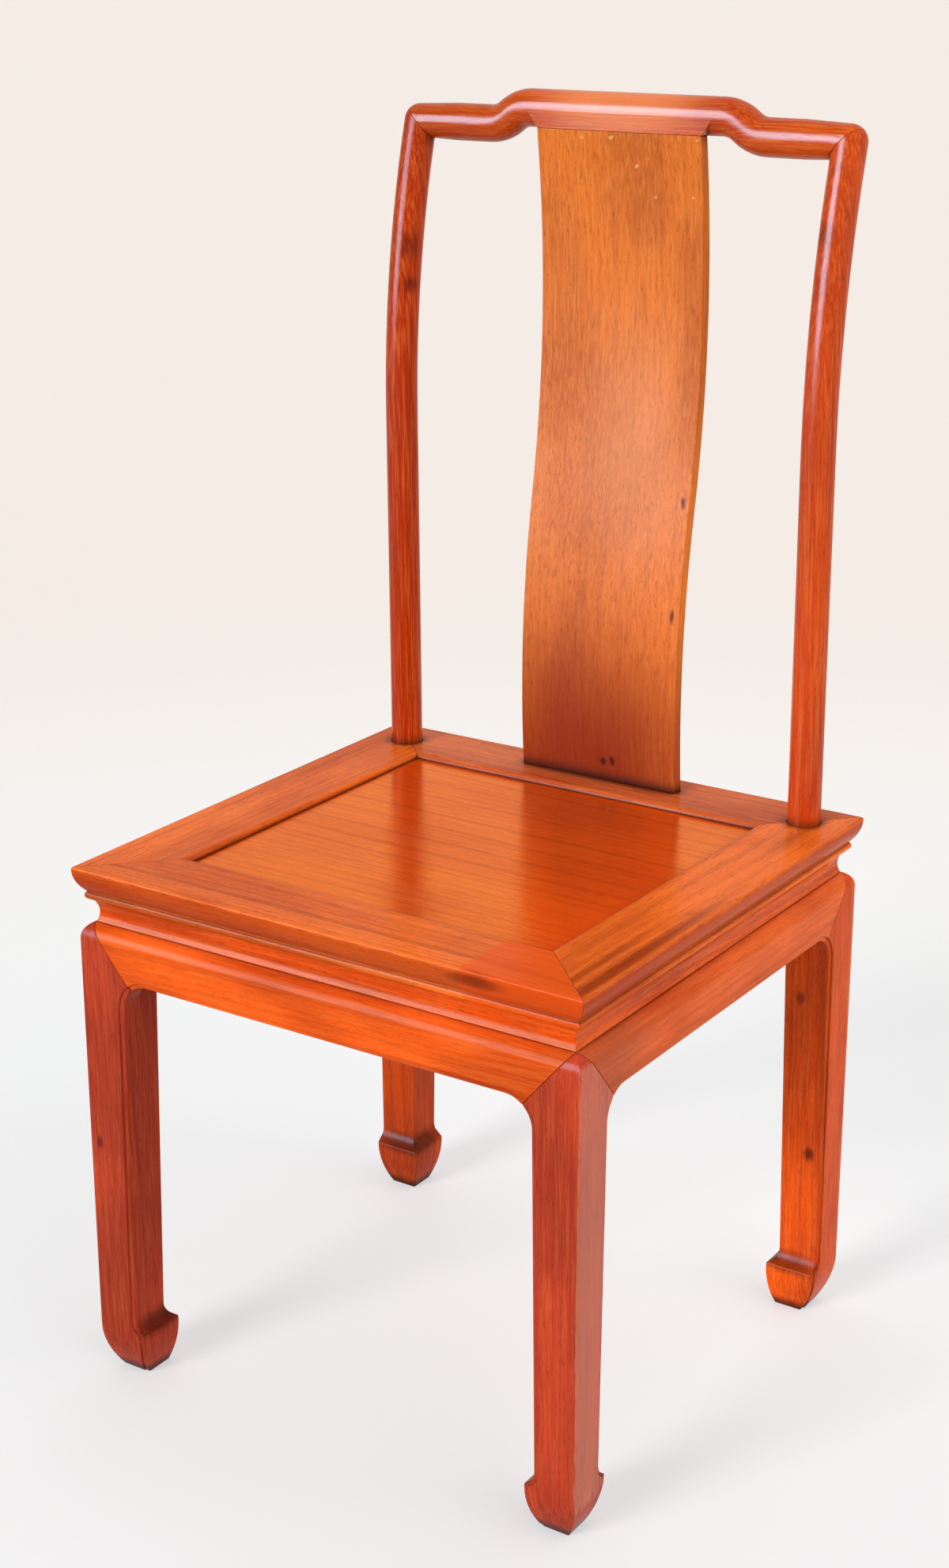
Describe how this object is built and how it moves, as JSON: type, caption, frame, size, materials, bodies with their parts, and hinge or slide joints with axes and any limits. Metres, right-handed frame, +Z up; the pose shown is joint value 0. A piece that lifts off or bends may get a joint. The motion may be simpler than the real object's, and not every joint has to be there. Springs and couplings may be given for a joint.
{
  "type": "side chair",
  "caption": "Chinese-style hardwood side chair with a mitred seat frame, hollow waist, hoof-footed legs, round back posts, humped crest rail and an S-curved splat.",
  "frame": {"origin": "on the floor, under the middle of the whole chair", "axes": "+Z up, +Y from the front of the seat to the back, +X to the right as seen from in front"},
  "size_m": [0.476, 0.4631, 1.0338],
  "materials": {
    "polished_rosewood": "orange-red hardwood, smoothed and polished to a soft gloss",
    "bare_rosewood": "the same hardwood, planed and left unpolished under the seat"
  },
  "bodies": {
    "root": {"front_seat_rail": "polished_rosewood", "front_waist": "polished_rosewood", "front_apron": "polished_rosewood", "right_seat_rail": "polished_rosewood", "right_waist": "polished_rosewood", "right_apron": "polished_rosewood", "rear_seat_rail": "polished_rosewood", "rear_waist": "polished_rosewood", "rear_apron": "polished_rosewood", "left_seat_rail": "polished_rosewood", "left_waist": "polished_rosewood", "left_apron": "polished_rosewood", "front_left_leg": "polished_rosewood", "front_right_leg": "polished_rosewood", "rear_right_leg": "polished_rosewood", "rear_left_leg": "polished_rosewood", "seat_panel": "polished_rosewood", "left_panel_batten": "bare_rosewood", "right_panel_batten": "bare_rosewood", "left_back_post": "polished_rosewood", "right_back_post": "polished_rosewood", "crest_rail": "polished_rosewood", "splat": "polished_rosewood"}
  },
  "joints": []
}
